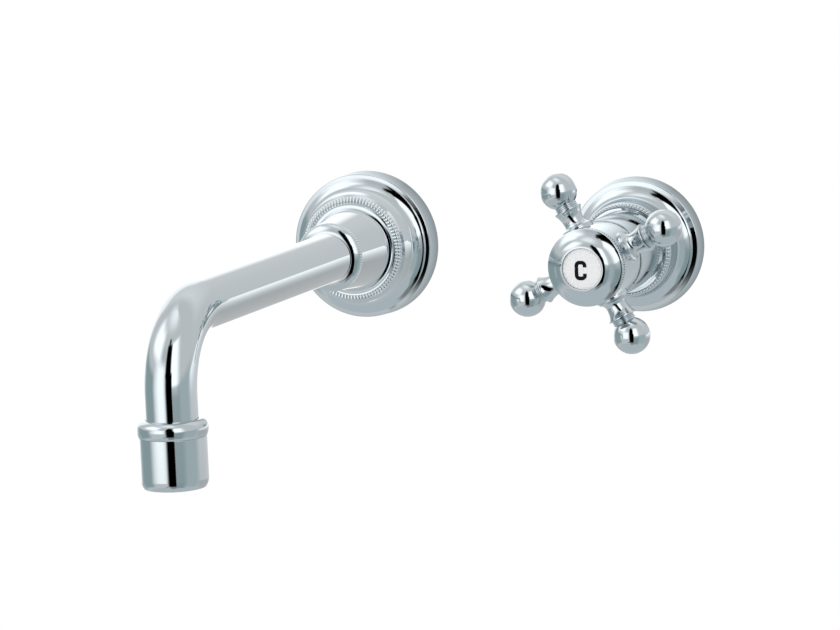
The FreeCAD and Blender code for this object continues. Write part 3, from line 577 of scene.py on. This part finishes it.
# Cap: turned and chromed brass with a milled edge and an ogee up to the disc, screwed into the front of the hub
# by hand.
hub_face = 78.2
cap_teeth = 96
cap_cut = 0.5
cap_r = 17.0
cap_skirt = hub_face - 1.0  # over the hub's shoulder
skirt_in_r = 16.0
skirt_mouth_r = 16.5
cap_edge_top = hub_face + 1.6
cap_edge_flank = 0.3
cap_edge_end = 0.15         # plain at each end of the milling
cap_slack = 0.1
cap_thread_r = 11.0
cap_thread_end = hub_face - 4.0
cap_bore_r = 8.7            # over the head of the handle's screw
cap_bore_end = 80.6
cap_shoulder = cap_edge_top + 0.4
ogee_r = 12.6               # where the ogee turns over
ogee_at = 83.1
ogee_hollow = 0.35
ogee_swell = 0.28
cap_front = 85.0
cap_roll = 0.3
cap_corner_r = 0.1
disc_seat = 82.8
disc_hole_r = 9.1
cap = turned([
    (0.0, cap_bore_end),
    (cap_bore_r, cap_bore_end),
    (cap_bore_r, cap_thread_end),
    (cap_thread_r, cap_thread_end),
    (cap_thread_r, hub_face),
    (skirt_in_r, hub_face),
    (skirt_mouth_r, cap_skirt),
    (cap_r, cap_skirt),
    (cap_r, cap_skirt + cap_edge_flank),
    (cap_r, cap_edge_top - cap_edge_flank),
    (cap_r, cap_edge_top),
    (cap_r, cap_shoulder),
    (ogee_r, ogee_at, -ogee_hollow),
    (disc_hole_r + cap_roll, cap_front, ogee_swell),
    (disc_hole_r, cap_front),
    (disc_hole_r, disc_seat),
    (0.0, disc_seat),
], 4 * cap_teeth, cap_corner_r)
mill(cap, cap_teeth, cap_cut, (cap_r - cap_slack, cap_r + cap_slack),
     (cap_skirt + cap_edge_end, cap_edge_top - cap_edge_end))
finished("handle_cap_plated", cap, on_wall(centres), chrome, "handle", "chrome_plate", "handle_cap")


# Index disc: pressed metal with a white glazed enamel face, pushed into the cap, and the cold-water mark on it,
# a plain stroke of black enamel that is fired on.
disc_r = 9.05
disc_dome = 0.25
disc_front = 84.2
glaze_mm = 1.6              # the faint ripple of a fired glaze
enamel = bpy.data.materials.new("white_enamel")     # glassy and bluish white, with a little cloud in it
enamel.use_nodes = True
tree = enamel.node_tree
surface = tree.nodes["Principled BSDF"]
place = add(tree, "TexCoord")
ripple = add(tree, "TexNoise", Vector=place.outputs["Object"], Scale=1000 / glaze_mm / 4)
tone = add(tree, "Mix", {"data_type": "RGBA"}, Factor=ripple.outputs[0])
tone.inputs[6].default_value = linear("EFEFF2")
tone.inputs[7].default_value = linear("F6F6F8")
skin = add(tree, "Bump", Height=ripple.outputs[0], Strength=0.1, Distance=0.00005)
tree.links.new(tone.outputs[2], surface.inputs["Base Color"])
tree.links.new(skin.outputs["Normal"], surface.inputs["Normal"])
surface.inputs["Roughness"].default_value = 0.2
dome_r = (disc_r ** 2 + disc_dome ** 2) / (2 * disc_dome)
dome_crown = dome_r - math.sqrt(dome_r ** 2 - (disc_r ** 2 + disc_dome ** 2) / 4)
disc = turned([
    (0.0, disc_seat),
    (disc_r, disc_seat),
    (disc_r, disc_front),
    (0.0, disc_front + disc_dome, dome_crown),
], small_steps)
finished("index_disc_glazed", disc, on_wall(centres), enamel, "handle", "white_enamel", "index_disc")

black_enamel = bpy.data.materials.new("black_enamel")       # printed thin, so its gloss is broken
black_enamel.use_nodes = True
tree = black_enamel.node_tree
surface = tree.nodes["Principled BSDF"]
place = add(tree, "TexCoord")
print_grain = add(tree, "TexNoise", Vector=place.outputs["Object"], Scale=1000 / glaze_mm)
dull = add(tree, "MapRange", Value=print_grain.outputs[0], To_Min=0.4, To_Max=0.6)
tree.links.new(dull.outputs["Result"], surface.inputs["Roughness"])
surface.inputs["Base Color"].default_value = linear("0A0B0C")
surface.inputs["Specular IOR Level"].default_value = 0.12
stroke = 1.65
mark_w = 5.4
mark_h = 8.5
mark_end = 2.9              # how far the stroke's ends come in from the top and the bottom
mark_t = 0.2
mark_proud = 0.03
corner_out = 2.2            # outer radius of the mark's corners
corner_steps = 10
mark_x = -0.75              # the mark's middle from the disc's
mark_z = -0.6
bm = bmesh.new()
stroke_end = [bm.verts.new((mark_w / 2 - stroke, mark_h / 2 - mark_end, 0)),
              bm.verts.new((mark_w / 2, mark_h / 2 - mark_end, 0))]
front_edge = [bm.edges.new(stroke_end)]
steps = (
    ("run", (0, mark_end - corner_out)),
    ("bend", (mark_w / 2 - corner_out, mark_h / 2 - corner_out)),
    ("run", (2 * corner_out - mark_w, 0)),
    ("bend", (corner_out - mark_w / 2, mark_h / 2 - corner_out)),
    ("run", (0, 2 * corner_out - mark_h)),
    ("bend", (corner_out - mark_w / 2, corner_out - mark_h / 2)),
    ("run", (mark_w - 2 * corner_out, 0)),
    ("bend", (mark_w / 2 - corner_out, corner_out - mark_h / 2)),
    ("run", (0, mark_end - corner_out)),
)
for kind, (dx, dz) in steps:
    if kind == "bend":
        geom = bmesh.ops.spin(bm, geom=front_edge + list(front_edge[0].verts), cent=(dx, dz, 0), axis=(0, 0, 1),
                              angle=math.pi / 2, steps=corner_steps)["geom_last"]
    else:
        geom = bmesh.ops.extrude_edge_only(bm, edges=front_edge)["geom"]
        bmesh.ops.translate(bm, verts=[part for part in geom if isinstance(part, bmesh.types.BMVert)],
                            vec=(dx, dz, 0))
    front_edge = [part for part in geom if isinstance(part, bmesh.types.BMEdge)][:1]
bmesh.ops.recalc_face_normals(bm, faces=bm.faces)
bmesh.ops.solidify(bm, geom=bm.faces[:], thickness=mark_t)
bmesh.ops.recalc_face_normals(bm, faces=bm.faces)
top = max(vert.co.z for vert in bm.verts)
bmesh.ops.translate(bm, verts=bm.verts, vec=(mark_x, mark_z, disc_front + disc_dome + mark_proud - top))
finished("cold_mark", bm, on_wall(centres), black_enamel, "handle", "white_enamel")


# Studio: a white wall at the tap's back and a pale floor below. Both show nothing from their far side, so that
# the bodies in the wall and the underside can be seen. Metal mirrors the room further down instead of them.
wall_half = 1.2             # in metres, like the floor
floor_z = -0.35
floor_half = 2.6


def stage_sheet(name, corners, material):
    """A flat stage piece with the given corners."""
    bm = bmesh.new()
    bm.faces.new([bm.verts.new(corner) for corner in corners])
    mesh = bpy.data.meshes.new(name)
    bm.to_mesh(mesh)
    bm.free()
    mesh.materials.append(material)
    made = bpy.data.objects.new(name, mesh)
    bpy.context.scene.collection.objects.link(made)
    made.visible_glossy = False


def show_front(tree, paint):
    """Ends a material that shows the paint on the front of a sheet and nothing on its back."""
    side = add(tree, "NewGeometry")
    clear = add(tree, "BsdfTransparent")
    sided = add(tree, "MixShader")
    tree.links.new(side.outputs["Backfacing"], sided.inputs[0])
    tree.links.new(paint.outputs[0], sided.inputs[1])
    tree.links.new(clear.outputs[0], sided.inputs[2])
    add(tree, "OutputMaterial", Surface=sided.outputs[0])


wall_paint = bpy.data.materials.new("white_wall")
wall_paint.use_nodes = True
tree = wall_paint.node_tree
tree.nodes.clear()
ray = add(tree, "LightPath")
matt = add(tree, "BsdfDiffuse", Color=linear("F0F0F0"))
white = add(tree, "Emission", Color=(1.0, 1.0, 1.0, 1.0), Strength=1.0)
paint = add(tree, "MixShader")
tree.links.new(ray.outputs["Is Camera Ray"], paint.inputs[0])
tree.links.new(matt.outputs[0], paint.inputs[1])
tree.links.new(white.outputs[0], paint.inputs[2])
show_front(tree, paint)
stage_sheet("wall", [(-wall_half, 0, floor_z), (wall_half, 0, floor_z), (wall_half, 0, wall_half),
                     (-wall_half, 0, wall_half)], wall_paint)

floor_paint = bpy.data.materials.new("pale_floor")
floor_paint.use_nodes = True
tree = floor_paint.node_tree
tree.nodes.clear()
show_front(tree, add(tree, "BsdfPrincipled", Base_Color=linear("ECECEC"), Roughness=0.9))
stage_sheet("floor", [(-floor_half, -floor_half, floor_z), (floor_half, -floor_half, floor_z),
                      (floor_half, floor_half, floor_z), (-floor_half, floor_half, floor_z)], floor_paint)


# Shade on the wall: a ring close round each rose, which the edge of the rose mirrors. It gets paler outwards and
# towards the upper left, where the light comes from. Only mirror rays from within its range see it.
shade_dark = 0.46
shade_pale = 0.74
shade_fade = 4.0            # mm from dark to pale
shade_lift = 0.8
shade_under = 1.0           # mm under the rose
shade_slope = math.radians(-35)
away = Vector((math.cos(shade_slope), 0.0, math.sin(shade_slope)))      # from the light
for name, x, base_r, shade_w, shade_range in (("spout_shade", 0.0, spout_rose_r, 6.0, 14.0),
                                              ("valve_shade", centres, valve_rose_r, 20.0, 90.0)):
    shaded = bpy.data.materials.new(name)
    shaded.use_nodes = True
    tree = shaded.node_tree
    tree.nodes.clear()
    place = add(tree, "TexCoord")
    off_axis = add(tree, "VectorMath", {"operation": "DISTANCE"})
    tree.links.new(place.outputs["Object"], off_axis.inputs[0])
    off_axis.inputs[1].default_value = (x / 1000, 0.0, 0.0)
    light = add(tree, "MapRange", Value=off_axis.outputs["Value"], From_Min=base_r / 1000,
                From_Max=(base_r + shade_fade) / 1000, To_Min=shade_dark, To_Max=shade_pale)
    towards = add(tree, "VectorMath", {"operation": "DOT_PRODUCT"})
    tree.links.new(place.outputs["Object"], towards.inputs[0])
    towards.inputs[1].default_value = away
    lift = add(tree, "MapRange", Value=towards.outputs["Value"], From_Min=(x * away.x - base_r) / 1000,
               From_Max=x * away.x / 1000, To_Min=shade_lift, To_Max=0.0)
    lit = add(tree, "Math", {"operation": "ADD"})
    tree.links.new(light.outputs["Result"], lit.inputs[0])
    tree.links.new(lift.outputs["Result"], lit.inputs[1])
    paint = add(tree, "Emission", Color=linear("F2F8FA"), Strength=lit.outputs[0])
    ray = add(tree, "LightPath")
    far = add(tree, "Math", {"operation": "GREATER_THAN"})
    tree.links.new(ray.outputs["Ray Length"], far.inputs[0])
    far.inputs[1].default_value = shade_range / 1000
    clear = add(tree, "BsdfTransparent")
    seen = add(tree, "MixShader")
    tree.links.new(far.outputs[0], seen.inputs[0])
    tree.links.new(paint.outputs[0], seen.inputs[1])
    tree.links.new(clear.outputs[0], seen.inputs[2])
    add(tree, "OutputMaterial", Surface=seen.outputs[0])
    bm = bmesh.new()
    rims = []
    for radius in (base_r - shade_under, base_r + shade_w):
        rim = bmesh.ops.create_circle(bm, cap_ends=False, segments=small_steps, radius=radius)["verts"]
        rims += {edge for vert in rim for edge in vert.link_edges}
    bmesh.ops.bridge_loops(bm, edges=rims)
    bmesh.ops.transform(bm, matrix=to_metres @ on_wall(x), verts=bm.verts)
    mesh = bpy.data.meshes.new(name)
    bm.to_mesh(mesh)
    bm.free()
    mesh.materials.append(shaded)
    made = bpy.data.objects.new(name, mesh)
    bpy.context.scene.collection.objects.link(made)
    made.visible_camera = False
    made.visible_diffuse = False
    made.visible_shadow = False


# Room: a pale tent with softboxes, grey panels and black flags, painted on the world by direction: azimuth from
# straight out of the wall towards +X, then elevation, each as the degrees between which the light comes in and
# goes out, and the light there.
room_light = (
    ("tent_floor", (-220, -210, 210, 220), (-130, -120, -42, -36), "D6DDDF", 1.0),
    ("tent_top", (-150, -90, 20, 80), (56, 84, 100, 124), "FFFFFF", 1.4),
    ("wall_left", (-171, -160, -124, -112), (-19, -9, 30, 43), "FFFFFF", 1.4),
    ("panel_left", (-132, -96, -66, -44), (-38, -26, 6, 16), "A8BABB", 1.0),
    ("side_right", (46, 60, 100, 125), (-45, -35, 0, 10), "C4D0D2", 1.0),
    ("panel_right", (28, 31, 50, 72), (-50, -44, -14, 4), "A8BABB", 0.95),
    ("divide", (-26, -14, -2, 6), (18, 26, 40, 48), "DEDEDE", 1.0),
    ("softbox_left_high", (-98, -72, -44, -18), (18, 32, 48, 66), "FFFFFF", 1.75),
    ("softbox_left_low", (-62, -26, -14, 8), (-16, -8, 18, 34), "FFFFFF", 1.65),
    ("softbox_right", (24, 29, 44, 70), (0, 5, 46, 52), "FFFFFF", 1.75),
    ("flag_top", (3, 7, 15, 19), (44, 47, 53, 57), "FFFFFF", 0.1),
    ("flag_stem", (-3, 4, 22, 27), (10, 14, 46, 50), "FFFFFF", 0.0),
    ("flag_low", (2, 10, 26, 32), (-54, -46, -36, -30), "FFFFFF", 0.32),
    ("flag_camera", (-4, 6, 27.5, 30.5), (-38, -34, 15, 19), "FFFFFF", 0.0),
    ("flag_foot", (-14, -8, 26, 36), (-37, -36, -34, -32), "FFFFFF", 0.1),
)
# What stands behind the wall's plane: the light by sine of elevation, with a bright skirting under the horizon.
back_light = ((0.0, 0.68), (0.365, 0.61), (0.40, 0.74), (0.437, 0.98), (0.458, 1.2), (0.496, 1.55), (0.5, 0.82),
              (0.7, 0.84), (1.0, 1.1))
back_from = 0.2             # how far towards +Y a direction goes where that light comes in, and where it is full
back_full = 0.5
back_brightest = 2.0
tent_light = 0.82
world = bpy.data.worlds.new("studio")
bpy.context.scene.world = world
world.use_nodes = True
tree = world.node_tree
tree.nodes.clear()
place = add(tree, "TexCoord")
parts = add(tree, "SeparateXYZ", Vector=place.outputs["Generated"])
faced = add(tree, "Mapping", Vector=place.outputs["Generated"], Rotation=(0, 0, math.pi / 2))
turn = add(tree, "TexGradient", {"gradient_type": "RADIAL"}, Vector=faced.outputs["Vector"])
azimuth = add(tree, "MapRange", Value=turn.outputs["Fac"], To_Min=-180.0, To_Max=180.0)
height = add(tree, "Math", {"operation": "ARCSINE"})
tree.links.new(parts.outputs["Z"], height.inputs[0])
elevation = add(tree, "MapRange", Value=height.outputs[0], From_Min=-math.pi / 2, From_Max=math.pi / 2,
                To_Min=-90.0, To_Max=90.0)
level = add(tree, "MapRange", Value=parts.outputs["Z"], From_Min=-1.0)
ramp = add(tree, "ValToRGB", Fac=level.outputs["Result"])
stops = ramp.color_ramp.elements
while len(stops) < len(back_light):
    stops.new(1.0)
for stop, (share, light) in zip(stops, back_light):
    stop.position = share
    stop.color = (light / back_brightest,) * 3 + (1.0,)
behind = add(tree, "MapRange", {"interpolation_type": "SMOOTHSTEP"}, Value=parts.outputs["Y"],
             From_Min=back_from, From_Max=back_full)
shade = add(tree, "Mix", {"data_type": "RGBA"}, Factor=behind.outputs["Result"])
shade.inputs[6].default_value = (tent_light / back_brightest,) * 3 + (1.0,)
tree.links.new(ramp.outputs["Color"], shade.inputs[7])
for name, across, rise, code, strength in room_light:
    window = None
    for way, edges in ((azimuth, across), (elevation, rise)):
        for nothing, full in (edges[:2], edges[:1:-1]):
            edged = add(tree, "MapRange", {"interpolation_type": "SMOOTHSTEP"}, Value=way.outputs["Result"],
                        From_Min=nothing, From_Max=full)
            if window is None:
                window = edged.outputs["Result"]
            else:
                both = add(tree, "Math", {"operation": "MULTIPLY"})
                tree.links.new(window, both.inputs[0])
                tree.links.new(edged.outputs["Result"], both.inputs[1])
                window = both.outputs[0]
    mixed = add(tree, "Mix", {"data_type": "RGBA"}, Factor=window)
    tree.links.new(shade.outputs[2], mixed.inputs[6])
    mixed.inputs[7].default_value = tuple(c * strength / back_brightest for c in linear(code)[:3]) + (1.0,)
    shade = mixed
room = add(tree, "Background", Color=shade.outputs[2], Strength=back_brightest)
plain = add(tree, "Background", Color=(1.0, 1.0, 1.0, 1.0), Strength=1.0)
ray = add(tree, "LightPath")
shown = add(tree, "MixShader")
tree.links.new(ray.outputs["Is Camera Ray"], shown.inputs[0])
tree.links.new(room.outputs[0], shown.inputs[1])
tree.links.new(plain.outputs[0], shown.inputs[2])
add(tree, "OutputWorld", Surface=shown.outputs[0])


# Camera: a long lens, a little above the tap and to its right, with a slight roll. Its place is in metres.
swing, tilt, roll = (math.radians(angle) for angle in (20.33, 8.06, -2.38))
lens_px = 3882.8            # focal length in pixels of a picture 840 wide
frame_px = 840
sensor_mm = 36.0
target = Vector((0.04547, -0.06, -0.02442))
distance = 1.7309
back = Vector((math.sin(swing) * math.cos(tilt), -math.cos(swing) * math.cos(tilt), math.sin(tilt)))
right = Vector((math.cos(swing), math.sin(swing), 0.0))
up = back.cross(right)
camera = bpy.data.cameras.new("camera")
camera.sensor_width = sensor_mm
camera.lens = lens_px / frame_px * sensor_mm
viewer = bpy.data.objects.new("camera", camera)
bpy.context.scene.collection.objects.link(viewer)
turned_right = right * math.cos(roll) + up * math.sin(roll)
turned_up = up * math.cos(roll) - right * math.sin(roll)
viewer.matrix_world = Matrix.Translation(target + back * distance) @ Matrix(
    (turned_right, turned_up, back)).transposed().to_4x4()
bpy.context.scene.camera = viewer
bpy.context.scene.view_settings.view_transform = "Standard"
